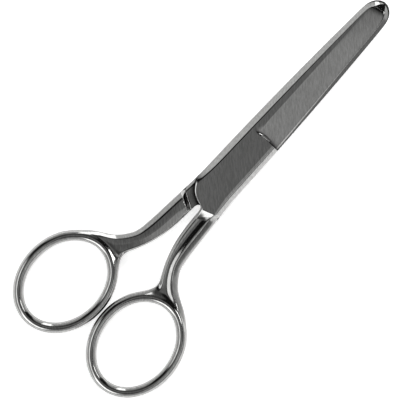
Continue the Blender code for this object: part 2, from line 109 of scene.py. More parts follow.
def at_share(points: Sequence[Vector], share: float) -> Vector:
    """Find the point a share of the way along a list of points.

    Args:
        points: The points, in order.
        share: How far along, from 0 at the first point to 1 at the last.

    Returns:
        The point, on the straight line between its two neighbours in the list.
    """
    place = share * (len(points) - 1)
    index = min(int(place), len(points) - 2)
    return points[index].lerp(points[index + 1], place - index)


def cage_share(turn: float) -> float:
    """Return how much wider than its curve a cage is drawn that turns so much at a corner."""
    return 3 / (2 + cos(turn))


# Mesh tools


def start_loop(bm: BMesh, places: Sequence[Vector], capped: bool = False) -> list[BMVert]:
    """Start a loft with a closed loop of vertices.

    Args:
        bm: The mesh that the loop is made in.
        places: Where the loop's vertices go, in order.
        capped: Whether a face closes the loop.

    Returns:
        The loop's vertices, in order.
    """
    made = bmesh.ops.create_circle(bm, cap_ends=capped, segments=len(places), radius=1.0)
    for vert, place in zip(made["verts"], places):
        vert.co = place
    return made["verts"]


def extend_loop(bm: BMesh, loop: Sequence[BMVert], places: Sequence[Vector]) -> list[BMVert]:
    """Extrude a closed loop and move the new one to its places.

    Args:
        bm: The mesh that the loop is in.
        loop: Vertices of the loop, in order.
        places: Where the new loop's vertices go, in the same order.

    Returns:
        The new loop's vertices, in order.
    """
    edges = [bm.edges.get((vert, loop[i - 1])) for i, vert in enumerate(loop)]
    grown = bmesh.ops.extrude_edge_only(bm, edges=edges)["geom"]
    made = {item for item in grown if isinstance(item, BMVert)}
    following = []
    for vert, place in zip(loop, places):
        ahead = next(e.other_vert(vert) for e in vert.link_edges if e.other_vert(vert) in made)
        ahead.co = place
        following.append(ahead)
    return following


def as_object(bm: BMesh, name: str) -> bpy.types.Object:
    """Turn a bmesh into an object of the scene and free it.

    Args:
        bm: The finished bmesh.
        name: Name of the mesh and the object.

    Returns:
        The new object, at the origin.
    """
    mesh = bpy.data.meshes.new(name)
    bm.to_mesh(mesh)
    bm.free()
    obj = bpy.data.objects.new(name, mesh)
    bpy.context.scene.collection.objects.link(obj)
    return obj


def settle(obj: bpy.types.Object, *helpers: bpy.types.Object) -> None:
    """Apply the object's modifiers to its mesh and take the helpers out of the scene.

    Args:
        obj: The object whose modifiers are applied.
        *helpers: Objects that only its modifiers needed.
    """
    graph = bpy.context.evaluated_depsgraph_get()
    finished = bpy.data.meshes.new_from_object(obj.evaluated_get(graph))
    finished.name = obj.name
    rough = obj.data
    obj.modifiers.clear()
    obj.data = finished
    bpy.data.meshes.remove(rough)
    for helper in helpers:
        bpy.data.meshes.remove(helper.data)


def cut_with(obj: bpy.types.Object, cutter: bpy.types.Object, name: str) -> None:
    """Add a cut of the cutter's shape out of the object.

    Args:
        obj: The object that is cut.
        cutter: The closed shape that is taken out of it.
        name: Name of the modifier.
    """
    modifier = obj.modifiers.new(name, "BOOLEAN")
    modifier.operation = "DIFFERENCE"
    modifier.solver = "EXACT"
    modifier.object = cutter


# Finishes


def colours(sockets: Iterable[Socket]) -> list[Socket]:
    """Return the colour sockets among the sockets of a node."""
    return [socket for socket in sockets if socket.type == "RGBA"]


class Shader:
    """Small helper that lays out and links the nodes of one material or world."""

    columns = 9
    corner = (-1400, 0)
    spacing = (180, -260)

    def __init__(self, tree: bpy.types.NodeTree) -> None:
        """Start on an existing node tree."""
        self.tree = tree
        self.count = 0

    def node(self, kind: str, **settings: object) -> bpy.types.Node:
        """Add a node.

        Args:
            kind: Blender's name of the node type.
            **settings: Attributes of the node, or values or sockets for its inputs by their
                names with spaces written as underscores.

        Returns:
            The new node.
        """
        made = self.tree.nodes.new(kind)
        self.count += 1
        steps = (self.count % self.columns, self.count // self.columns)
        made.location = [c + s * n for c, s, n in zip(self.corner, self.spacing, steps)]
        for key, value in settings.items():
            if hasattr(made, key):
                setattr(made, key, value)
            elif isinstance(value, Socket):
                self.link(value, made.inputs[key.replace("_", " ")])
            else:
                made.inputs[key.replace("_", " ")].default_value = value
        return made

    def link(self, source: Socket, target: Socket) -> None:
        """Join two sockets."""
        self.tree.links.new(source, target)

    def math(self, operation: str, *terms: Socket | float, clamp: bool = False) -> Socket:
        """Work a value out of other values.

        Args:
            operation: Blender's name of the operation.
            *terms: Its terms, each a socket or a plain number.
            clamp: Whether the result is kept between 0 and 1.

        Returns:
            The socket with the result.
        """
        made = self.node("ShaderNodeMath", operation=operation, use_clamp=clamp)
        for entry, term in zip(made.inputs, terms):
            if isinstance(term, Socket):
                self.link(term, entry)
            else:
                entry.default_value = term
        return made.outputs[0]

    def ramp(self, source: Socket, stops: Iterable[Pair]) -> Socket:
        """Turn a value into another by a list of (position, grey) stops.

        Args:
            source: Socket with the value.
            stops: Positions and the grey level at each.

        Returns:
            The ramp's colour socket.
        """
        made = self.node("ShaderNodeValToRGB", Fac=source)
        elements = made.color_ramp.elements
        stops = list(stops)
        while len(elements) < len(stops):
            elements.new(0.5)
        for element, (place, grey) in zip(elements, stops):
            element.position = place
            element.color = (grey, grey, grey, 1.0)
        return made.outputs["Color"]


@dataclass(frozen=True)
class NickelPlate:
    """Bright nickel over steel, with the faint grinding marks and handling scratches it keeps."""

    name: str
    tone: float = 0.43
    edge_tone: float = 0.75
    warmth: float = 0.985
    roughness: float = 0.06
    roughness_spread: float = 0.07
    cloud_scale: float = 90.0
    cloud_layers: float = 3.0
    scratch_scale: float = 2200.0
    scratch_layers: float = 4.0
    scratch_breakup: float = 0.65
    scratch_stretch: float = 5.0
    scratch_depth: float = 0.12
    scratch_height: float = 0.02 * MM
    scratch_turn: float = radians(48.0)
    grain_shares: Pair = (0.87, 1.13)
    grain_contrast: tuple[Pair, ...] = ((0.0, 0.0), (0.36, 0.0), (0.64, 1.0), (1.0, 1.0))
    # Painted shade: how far the occlusion looks and how dark it paints the colour in crevices.
    painted_shade_reach: float = 2.2 * MM
    painted_shade_samples: int = 8
    painted_shade_ramp: tuple[Pair, ...] = ((0.0, 0.02), (0.66, 0.02), (0.92, 1.0), (1.0, 1.0))

    def material(self) -> bpy.types.Material:
        """Build the plate's material.

        Returns:
            The material, on Object coordinates.
        """
        made = bpy.data.materials.new(self.name)
        made.use_nodes = True
        made.diffuse_color = (self.tone, self.tone, self.tone, 1.0)
        shade = Shader(made.node_tree)
        surface = made.node_tree.nodes["Principled BSDF"]
        surface.inputs["Metallic"].default_value = 1.0
        edge = (self.edge_tone, self.edge_tone, self.edge_tone, 1.0)
        surface.inputs["Specular Tint"].default_value = edge
        place = shade.node("ShaderNodeTexCoord").outputs["Object"]
        marks = self.grinding_marks(shade, place)
        shade.link(self.plated_colour(shade, marks), surface.inputs["Base Color"])
        shade.link(self.clouded_gloss(shade, place), surface.inputs["Roughness"])
        depth, height = self.scratch_depth, self.scratch_height
        bump = shade.node("ShaderNodeBump", Strength=depth, Distance=height, Height=marks)
        shade.link(bump.outputs["Normal"], surface.inputs["Normal"])
        return made

    def grinding_marks(self, shade: Shader, place: Socket) -> Socket:
        """Lay out the noise of the grinding marks, drawn out along their own direction.

        Args:
            shade: Where the nodes go.
            place: Socket with the Object coordinates.

        Returns:
            The socket with the marks' height.
        """
        turned = shade.node(
            "ShaderNodeMapping",
            vector_type="TEXTURE",
            Vector=place,
            Rotation=(0.0, 0.0, self.scratch_turn),
            Scale=(self.scratch_stretch, 1.0, 1.0),
        )
        marks = shade.node(
            "ShaderNodeTexNoise",
            Vector=turned.outputs["Vector"],
            Scale=self.scratch_scale,
            Detail=self.scratch_layers,
            Roughness=self.scratch_breakup,
        )
        return marks.outputs["Fac"]

    def plated_colour(self, shade: Shader, marks: Socket) -> Socket:
        """Lay out the plate's colour: lighter and darker grain, and painted shade deep in its
        crevices.

        Args:
            shade: Where the nodes go.
            marks: Socket with the grinding marks' height.

        Returns:
            The socket with the colour.
        """
        contrast = shade.ramp(marks, self.grain_contrast)
        grain = shade.node("ShaderNodeMix", data_type="RGBA", Factor=contrast)
        for socket, share in zip(colours(grain.inputs), self.grain_shares):
            tone = self.tone * share
            socket.default_value = (tone, tone, tone * self.warmth, 1.0)
        # Painted shade: occlusion darkens the plate's colour deep in crevices and beside the other
        # half's walls.
        samples, reach = self.painted_shade_samples, self.painted_shade_reach
        painted_shade = shade.node("ShaderNodeAmbientOcclusion", samples=samples, Distance=reach)
        shaded = shade.node("ShaderNodeMix", data_type="RGBA", blend_type="MULTIPLY", Factor=1.0)
        grain_input, painted_shade_input = colours(shaded.inputs)
        shade.link(colours(grain.outputs)[0], grain_input)
        shade.link(shade.ramp(painted_shade.outputs["AO"], self.painted_shade_ramp), painted_shade_input)
        return colours(shaded.outputs)[0]

    def clouded_gloss(self, shade: Shader, place: Socket) -> Socket:
        """Lay out the plate's roughness, which drifts softly from spot to spot.

        Args:
            shade: Where the nodes go.
            place: Socket with the Object coordinates.

        Returns:
            The socket with the roughness.
        """
        scale, layers = self.cloud_scale, self.cloud_layers
        cloud = shade.node("ShaderNodeTexNoise", Vector=place, Scale=scale, Detail=layers)
        gloss = shade.node(
            "ShaderNodeMapRange",
            Value=cloud.outputs["Fac"],
            To_Min=self.roughness,
            To_Max=self.roughness + self.roughness_spread,
        )
        return gloss.outputs["Result"]


@dataclass(frozen=True)
class PaperSweep:
    """Smooth white paper under the scissors, which looks white to the camera and in the plate."""

    name: str
    tone: float = 0.94
    roughness: float = 0.9
    mottle_scale: float = 6.0
    mottle_layers: float = 2.0
    glow: float = 0.55

    def material(self) -> bpy.types.Material:
        """Build the paper's material.

        Returns:
            The material, with the faintest mottling and its white for the rays that see it.
        """
        made = bpy.data.materials.new(self.name)
        made.use_nodes = True
        shade = Shader(made.node_tree)
        surface = made.node_tree.nodes["Principled BSDF"]
        surface.inputs["Roughness"].default_value = self.roughness
        surface.inputs["Specular IOR Level"].default_value = 0.0
        place = shade.node("ShaderNodeTexCoord").outputs["Object"]
        scale, layers = self.mottle_scale, self.mottle_layers
        mottle = shade.node("ShaderNodeTexNoise", Vector=place, Scale=scale, Detail=layers)
        colour = shade.ramp(mottle.outputs["Fac"], ((0.0, self.tone), (1.0, 1.0)))
        shade.link(colour, surface.inputs["Base Color"])
        ray = shade.node("ShaderNodeLightPath").outputs
        seen = ray["Is Camera Ray"]
        for name in ("Is Glossy Ray", "Is Transmission Ray"):
            seen = shade.math("ADD", seen, ray[name], clamp=True)
        surface.inputs["Emission Color"].default_value = (1.0, 1.0, 1.0, 1.0)
        glow = shade.math("MULTIPLY", seen, self.glow)
        shade.link(glow, surface.inputs["Emission Strength"])
        return made


# Forged halves


def cross_section(
    back: Vector,
    edge: Vector,
    outer: Sequence[Pair],
    inner: Sequence[Pair],
    sides: Pair,
    bow: float = 0.0,
) -> list[Vector]:
    """Lay twelve points round one section, from its back over the outer face to the edge and back.

    Args:
        back: Plan position of the section's back.
        edge: Plan position of its edge.
        outer: Five (share of the width, height) pairs of the outer face.
        inner: Five pairs of the inner face.
        sides: Height of the back's and the edge's middle.
        bow: How far the section curves forward in its middle.

    Returns:
        The points in order.
    """
    across = edge - back
    ahead = Vector((-across.y, across.x)).normalized()

    def point(share: float, z: float) -> Vector:
        """Return the point a share of the way from the back to the edge, at a height."""
        at = back + across * share + ahead * (bow * 4 * share * (1 - share))
        return Vector((at.x, at.y, z))

    loop = [point(0.0, sides[0])]
    loop += [point(share, z) for share, z in outer]
    loop += [point(1.0, sides[1])]
    loop += [point(share, z) for share, z in reversed(inner)]
    return loop


@dataclass
class Blade:
    """The blade from the level root to the blunt round tip, with its bevels and ground face.

    Its places are distances from the pivot. The ground line and the cutting bevel have one size
    at the plunge and one at the tip, and the nose has its run and its drop. The blade lies outer
    face up, with its inner face a gap above the joint plane.
    """

    gap: float = 0.15 * MM
    reach: float = 73.5 * MM
    root_width: float = 12.4 * MM
    middle_width: float = 11.1 * MM
    tip_width: float = 8.4 * MM
    tip_round: float = 5.5 * MM
    nose: Pair = (3.7 * MM, 1.1 * MM)
    root_thickness: float = 2.2 * MM
    tip_thickness: float = 1.3 * MM
    bevel: float = 1.85 * MM
    bevel_at_root: float = 1.2 * MM
    bevel_at_tip: float = 1.3 * MM
    bevel_run: float = 5.2 * MM
    bevel_angle: float = radians(42.0)
    plunge: float = 20.6 * MM
    plunge_run: float = 0.12 * MM
    ground_line: Pair = (1.8 * MM, 2.5 * MM)
    cutting_bevel: Pair = (0.35 * MM, 1.15 * MM)
    cutting_bevel_full: float = 0.7
    cutting_angle: float = radians(30.0)
    edge_land: float = 0.20 * MM
    hollow: float = 0.12 * MM
    root_corner: float = 1.0 * MM
    edge_rounding: float = 1.5 * MM
    edge_drop: float = 1.3 * MM
    tip_turns: tuple[float, ...] = (82, 68, 52, 36, 18)
    ground_spans: int = 7
    ground_limit: float = 0.9
    tip_line_limit: float = 0.45
    ricasso_shares: tuple[float, ...] = (1.0, 0.94, 0.6, 0.25, 0.06)

    @property
    def round_start(self) -> float:
        """Return the distance from the pivot at which the tip starts to round."""
        return self.reach - self.tip_round

    def half_width(self, x: float) -> float:
        """Find half the blade's width, on one curve through its three widths.

        Args:
            x: Distance from the pivot.

        Returns:
            Half the width there.
        """
        middle, end = self.reach / 2, self.round_start
        at_root = (x - middle) * (x - end) / (middle * end)
        at_middle = x * (x - end) / (middle * (middle - end))
        at_tip = x * (x - middle) / (end * (end - middle))
        widths = (self.root_width, self.middle_width, self.tip_width)
        return sum(w * s for w, s in zip(widths, (at_root, at_middle, at_tip))) / 2

    def top(self, x: float) -> float:
        """Return the height of the outer face at x."""
        share = min(max((x - self.plunge) / (self.reach - self.plunge), 0.0), 1.0)
        return self.gap + mix(self.root_thickness, self.tip_thickness, share)

    def bevel_width(self, x: float) -> float:
        """Find the width of the bevel along the back.

        Args:
            x: Distance from the pivot.

        Returns:
            The bevel's width there, which grows at the root and shrinks towards the tip.
        """
        if x < self.bevel_run:
            share = (x + self.root_corner) / (self.bevel_run + self.root_corner)
            return mix(self.bevel_at_root, self.bevel, share)
        share = max((x - self.plunge) / (self.round_start - self.plunge), 0.0)
        return mix(self.bevel, self.bevel_at_tip, share * share)

    def across(
        self, x: float, width: float, outer: Sequence[Pair], inner: Sequence[Pair], sides: Pair
    ) -> list[Vector]:
        """Lay a section straight across the blade from (y, height) pairs.

        Args:
            x: Distance from the pivot.
            width: Half the blade's width there.
            outer: (y, height) pairs of the outer face.
            inner: (y, height) pairs of the inner face.
            sides: Height of the back's and the edge's middle.

        Returns:
            The section's points.
        """
        shares = [[((width - y) / (2 * width), z) for y, z in face] for face in (outer, inner)]
        return cross_section(Vector((x, width)), Vector((x, -width)), *shares, sides)

    def ricasso_loop(self, x: float) -> list[Vector]:
        """Lay a section between the root and the plunge: level, with a softened edge.

        Args:
            x: Distance from the pivot.

        Returns:
            The section's points.
        """
        width, top, bevel = self.half_width(x), self.top(x), self.bevel_width(x)
        side = top - bevel * tan(self.bevel_angle)
        low = top - self.edge_drop
        places = (width, width - bevel, self.ground_line[0], self.edge_rounding - width, -width)
        outer = list(zip(places, (side, top, top, top, low)))
        inner = [(y, self.gap) for y in places]
        sides = (mix(self.gap, side, 0.5), mix(self.gap, low, 0.5))
        return self.across(x, width, outer, inner, sides)

    def ground_loop(self, x: float) -> list[Vector]:
        """Lay a section beyond the plunge: strip, ground face, cutting bevel and hollow.

        Args:
            x: Distance from the pivot.

        Returns:
            The section's points.
        """
        width, top, bevel = self.half_width(x), self.top(x), self.bevel_width(x)
        share = min((x - self.plunge) / (self.round_start - self.plunge), 1.0)
        cut = mix(*self.cutting_bevel, min(share / self.cutting_bevel_full, 1.0))
        ground = min(mix(*self.ground_line, share), (width - bevel) * self.ground_limit)
        side = top - bevel * tan(self.bevel_angle)
        low = self.gap + self.edge_land
        outer = [
            (width, side),
            (width - bevel, top),
            (ground, top),
            (cut - width, low + cut * tan(self.cutting_angle)),
            (-width, low),
        ]
        inner = [
            (width, self.gap),
            (width - bevel, self.gap),
            (0.0, self.gap + self.hollow),
            (self.cutting_bevel[1] - width, self.gap),
            (-width, self.gap),
        ]
        sides = (mix(self.gap, side, 0.5), self.gap + self.edge_land / 2)
        return self.across(x, width, outer, inner, sides)

    def tip_loop(self, turn: float) -> list[Vector]:
        """Lay a slice of the round tip: both bevels run on round it, and its nose drops.

        Args:
            turn: How far round the tip's quarter the slice lies, from 0 where it starts.

        Returns:
            The slice's points.
        """
        run = self.tip_round * sin(turn)
        width = self.tip_width / 2 * cos(turn)
        x = self.round_start + run
        flat_top = self.top(x)

        def inset(distance: float) -> float:
            """Return where a line drawn this far inside the round tip's outline crosses."""
            reach = self.tip_round - distance
            return (self.tip_width / 2 - distance) * sqrt(max(1 - (run / reach) ** 2, 0.0))

        side = flat_top - self.bevel_at_tip * tan(self.bevel_angle)
        nose_run, nose_drop = self.nose
        past = max(run - (self.tip_round - nose_run), 0.0) / nose_run
        top = flat_top - nose_drop * past * past
        low = self.gap + self.edge_land
        innermost = width * self.tip_line_limit
        bevel_line = max(inset(self.bevel_at_tip), innermost)
        cut_line = max(inset(self.cutting_bevel[1]), innermost)
        ground = min(self.ground_line[1], bevel_line * self.ground_limit)
        cut_top = min(low + (width - cut_line) * tan(self.cutting_angle), top)
        places = (width, bevel_line, ground, -cut_line, -width)
        outer = list(zip(places, (side, top, top, cut_top, low)))
        inner = [(y, self.gap) for y in (width, bevel_line, 0.0, -cut_line, -width)]
        sides = (mix(self.gap, side, 0.5), self.gap + self.edge_land / 2)
        return self.across(x, width, outer, inner, sides)


@dataclass
class FingerRing:
    """The oval finger ring, a round band whose middle line is a tilted oval.

    The mouth is the stretch of its outer side, between two turns, that the web runs into.
    """

    gap: float = 0.15 * MM
    reach: float = 49.3 * MM
    opening: Pair = (27.1 * MM, 21.0 * MM)
    band: float = 3.2 * MM
    thickness: float = 3.3 * MM
    draw_in: float = 0.02 * MM
    tilt: float = radians(4.7)
    mouth: Pair = (radians(33.0), radians(-50.0))
    mouth_spans: int = 4
    free_spans: int = 20
    points: int = 8
    tangent_turn: float = radians(1.0)

    @property
    def centre(self) -> Vector:
        """Return the middle of the ring in plan: the two closed rings all but touch."""
        long_side, short_side = (side / 2 + self.band for side in self.opening)
        reach = hypot(long_side * sin(self.tilt), short_side * cos(self.tilt))
        return Vector((-self.reach, -(reach + self.gap)))

    def on_oval(self, turn: float, long_side: float, short_side: float) -> tuple[Vector, Vector]:
        """Find a point of an oval round the ring's middle.

        Args:
            turn: Angle round the oval.
            long_side: Its longer half axis.
            short_side: Its shorter half axis.

        Returns:
            The point and the outward direction there.
        """
        tilted = Matrix.Rotation(self.tilt, 2)
        point = Vector((long_side * cos(turn), short_side * sin(turn)))
        outward = Vector((short_side * cos(turn), long_side * sin(turn))).normalized()
        return self.centre + tilted @ point, tilted @ outward

    def outline(self, turn: float) -> Vector:
        """Return a point on the ring's outer outline."""
        return self.on_oval(turn, *(side / 2 + self.band for side in self.opening))[0]

    def along(self, turn: float) -> Vector:
        """Return the direction in which the outer outline runs on clockwise at a turn."""
        return (self.outline(turn - self.tangent_turn) - self.outline(turn)).normalized()

    def loops(self) -> Sections:
        """Lay the band's sections round the ring, wider by what subdivision draws in.

        Returns:
            The points of each section: first those of the mouth, then the free ones.
        """
        first, last = self.mouth
        joined = (last - first) / self.mouth_spans
        free = (-2 * pi - (last - first)) / self.free_spans
        turns = [first + joined * i for i in range(self.mouth_spans)]
        turns += [last + free * i for i in range(self.free_spans)]
        wider_oval = cage_share(free)
        wider_band = cage_share(2 * pi / self.points)
        sides = [(side + self.band) / 2 * wider_oval - self.draw_in for side in self.opening]
        loops = []
        for turn in turns:
            middle, outward = self.on_oval(turn, *sides)
            loop = []
            for i in range(self.points):
                angle = 2 * pi * i / self.points
                at = middle + outward * (self.band / 2 * wider_band * cos(angle))
                loop.append(Vector((at.x, at.y, self.thickness / 2 * wider_band * sin(angle))))
            loops.append(loop)
        return loops


@dataclass
class Shank:
    """The shank from the rounded root, over the step, to the web at the ring.

    Crowns and the underside are pairs of a share of the width and a share of half the
    thickness. Stations are pairs of shares along the inner edge and along the outer edge.
    """

    gap: float = 0.15 * MM
    offset: float = 6.7 * MM
    root_width: float = 5.8 * MM
    neck_width: float = 4.92 * MM
    thickness: float = 3.7 * MM
    web_thickness: float = 2.9 * MM
    web_bow: float = 0.9 * MM
    web_fillet: float = 3.7 * MM
    web_corner_drop: float = 0.49
    web_start: float = 0.33
    web_end: float = 0.87
    crotch: float = 6.95 * MM
    step_radius: float = 9.0 * MM
    step_run: float = 1.1 * MM
    step_head: float = 0.70
    arc_radius: float = 6.45 * MM
    arc_drop: float = 0.6 * MM
    arc_turns: tuple[float, ...] = (115, 134, 153, 172)
    rim: float = 0.38 * MM
    rim_fall: float = 0.31
    inner_rim: float = 0.30 * MM
    bevel_fade_spans: int = 2
    shoulder_bow: float = -0.3 * MM
    edge_steps: int = 48
    neck_at: float = 0.81
    inner_pulls: tuple[Pair, Pair] = ((0.38, 0.0), (0.67, 0.15))
    outer_leaving: Pair = (0.28, 0.04)
    knee_pulls: Pair = (0.17, 0.42)
    web_pull: float = 0.58
    stations: tuple[Pair, ...] = (
        (0.13, 0.13),
        (0.25, 0.22),
        (0.375, 0.29),
        (0.50, 0.36),
        (0.625, 0.42),
        (0.75, 0.49),
        (0.875, 0.63),
        (0.965, 0.75),
    )
    root_middle: float = 0.42
    crown_middle: float = 0.45
    crown_at_step: tuple[Pair, ...] = (
        (0.02, 0.40), (0.16, 0.73), (0.38, 0.60), (0.64, 0.84), (0.98, 0.26)
    )
    crown_at_middle: tuple[Pair, ...] = (
        (0.02, 0.46), (0.16, 0.88), (0.38, 0.76), (0.60, 1.06), (0.98, 0.30)
    )
    crown_at_web: tuple[Pair, ...] = (
        (0.02, 0.46), (0.14, 0.80), (0.32, 0.68), (0.55, 1.06), (0.98, 0.34)
    )
    underside: tuple[Pair, ...] = (
        (0.02, -0.50), (0.09, -0.92), (0.42, -1.04), (0.74, -0.95), (0.98, -0.30)
    )
    side_bevel: Pair = (0.95 * MM, 0.75 * MM)

    def curve(self, *controls: Vector) -> list[Vector]:
        """Return the points of the smooth curve between two ends along their pulls."""
        raised = [Vector((p.x, p.y, 0.0)) for p in controls]
        return [v.to_2d() for v in interpolate_bezier(*raised, self.edge_steps + 1)]

    def edges(self, ring: FingerRing) -> tuple[list[Vector], list[Vector]]:
        """Draw the shank's edges in plan, from the crotch of the root to the ring.

        Args:
            ring: The finger ring that they run into.

        Returns:
            The points of the inner edge and of the outer edge.
        """
        crotch = Vector((-self.crotch, self.root_width - self.offset))
        fillet = Vector((self.web_fillet, -self.web_fillet * self.web_corner_drop))
        corner = ring.outline(ring.mouth[0]) + fillet
        way = corner - crotch
        pulls = [crotch + Vector((way.x * a, way.y * b)) for a, b in self.inner_pulls]
        inner = self.curve(crotch, *pulls, corner)
        neck = at_share(inner, self.neck_at)
        along = (at_share(inner, self.neck_at + 1 / self.edge_steps) - neck).normalized()
        knee = neck + Vector((-along.y, along.x)) * self.neck_width
        start = Vector((-sqrt(self.step_radius**2 - self.offset**2), -self.offset))
        meeting = ring.outline(ring.mouth[1])
        round_ring = ring.along(ring.mouth[1])
        first, second = (knee - start).length, (meeting - knee).length
        leaving = start - Vector(self.outer_leaving) * first
        outer = self.curve(start, leaving, knee - along * (self.knee_pulls[0] * first), knee)
        through = knee + along * (self.knee_pulls[1] * second)
        arriving = meeting - round_ring * (self.web_pull * second)
        outer += self.curve(knee, through, arriving, meeting)[1:]
        return inner, outer

    def root_profile(
        self, span: float, rim: float, blade: Blade, bevelled: float = 1.0
    ) -> tuple[list[Pair], list[Pair], Pair]:
        """Draw the root's section for one width of it.

        Args:
            span: Width of the root there.
            rim: Width of the softened rim along its round back.
            blade: The blade that the root belongs to.
            bevelled: Share of the bevel that the inner face's edge has there.

        Returns:
            The pairs of the outer face, those of the inner face, and the sides' heights.
        """
        top = blade.top(0.0)
        low = top - blade.edge_drop
        outer = [
            (0.0, top - rim * self.rim_fall),
            (rim / span, top),
            (self.root_middle, top),
            (1 - blade.edge_rounding / span, top),
            (1.0, low),
        ]
        run, drop = (size * bevelled for size in self.side_bevel)
        inner = [(share, self.gap) for share, _ in outer[:3]]
        inner += [(1 - max(run, self.inner_rim) / span, self.gap), (1.0, self.gap + drop)]
        return outer, inner, (mix(self.gap, top, 0.5), mix(self.gap + drop, low, 0.5))

    def profile(self, share: float) -> tuple[list[Pair], list[Pair], Pair]:
        """Draw the shank's section: a crowned outer face over a faceted inner one.

        Args:
            share: How far along the shank, from 0 at the step to 1 at the web.

        Returns:
            The pairs of the outer face, those of the inner face, and the sides' heights.
        """
        half = mix(self.thickness, self.web_thickness, share) / 2
        if share < self.crown_middle:
            crown = mix_pairs(self.crown_at_step, self.crown_at_middle, share / self.crown_middle)
        else:
            beyond = (share - self.crown_middle) / (1 - self.crown_middle)
            crown = mix_pairs(self.crown_at_middle, self.crown_at_web, beyond)
        outer = [(place, half * height) for place, height in crown]
        inner = [(place, half * height) for place, height in self.underside]
        return outer, inner, (0.0, 0.0)

    def root_loops(self, inner: list[Vector], outer: list[Vector], blade: Blade) -> Sections:
        """Lay the sections from the blade's corner round the root to the foot of the step.

        Args:
            inner: Points of the shank's inner edge.
            outer: Points of its outer edge.
            blade: The blade that the root belongs to.

        Returns:
            The sections' points.
        """
        arc_centre = Vector((0.0, -self.arc_drop))
        backs = [Vector((-blade.root_corner, blade.half_width(-blade.root_corner)))]
        for turn in map(radians, self.arc_turns):
            backs.append(arc_centre + Vector((cos(turn), sin(turn))) * self.arc_radius)
        backs.append(inner[0])
        first_edge = Vector((blade.root_corner, -blade.half_width(0.0)))
        loops = []
        for i, back in enumerate(backs):
            edge = first_edge.lerp(outer[0], (i + 1) / (len(backs) + 1))
            rim = self.rim if i else blade.bevel_at_root
            bevelled = min(max((i - 1) / self.bevel_fade_spans, 0.0), 1.0)
            bow = self.shoulder_bow if back is backs[-1] else 0.0
            profile = self.root_profile((edge - back).length, rim, blade, bevelled)
            loops.append(cross_section(back, edge, *profile, bow))
        return loops

    def step_loops(self, inner: list[Vector], outer: list[Vector], blade: Blade) -> Sections:
        """Lay the two sections of the step, an arc round the pivot that clears the other half.

        Args:
            inner: Points of the shank's inner edge.
            outer: Points of its outer edge.
            blade: The blade that the root belongs to.

        Returns:
            The points of the step's head and of its foot.
        """
        loops = []
        head = (self.step_radius, self.step_head, 0.0)
        foot = (self.step_radius + self.step_run, 1.0, 1.0)
        for radius, over, under in (head, foot):
            back = next(p for p in inner if p.length >= radius)
            edge = next(p for p in outer if p.length >= radius - WELD)
            root = self.root_profile((edge - back).length, self.rim, blade)
            shank = self.profile(0.0)
            sides = (mix(root[2][0], shank[2][0], over), mix(root[2][1], shank[2][1], over))
            upper = mix_pairs(root[0], shank[0], over)
            lower = mix_pairs(root[1], shank[1], under)
            loops.append(cross_section(back, edge, upper, lower, sides))
        return loops

    def shank_loops(self, inner: list[Vector], outer: list[Vector], ring: FingerRing) -> Sections:
        """Lay the sections of the shank, the last one bowed round the ring in the web.

        Args:
            inner: Points of the shank's inner edge.
            outer: Points of its outer edge.
            ring: The finger ring that they run into.

        Returns:
            The sections' points.
        """
        loops = []
        for along_inner, along_outer in self.stations:
            back, edge = at_share(inner, along_inner), at_share(outer, along_outer)
            loops.append(cross_section(back, edge, *self.profile(along_inner)))
        back = inner[-1].lerp(ring.outline(ring.mouth[0]), self.web_start)
        edge = at_share(outer, self.web_end)
        loops.append(cross_section(back, edge, *self.profile(1.0), self.web_bow))
        return loops


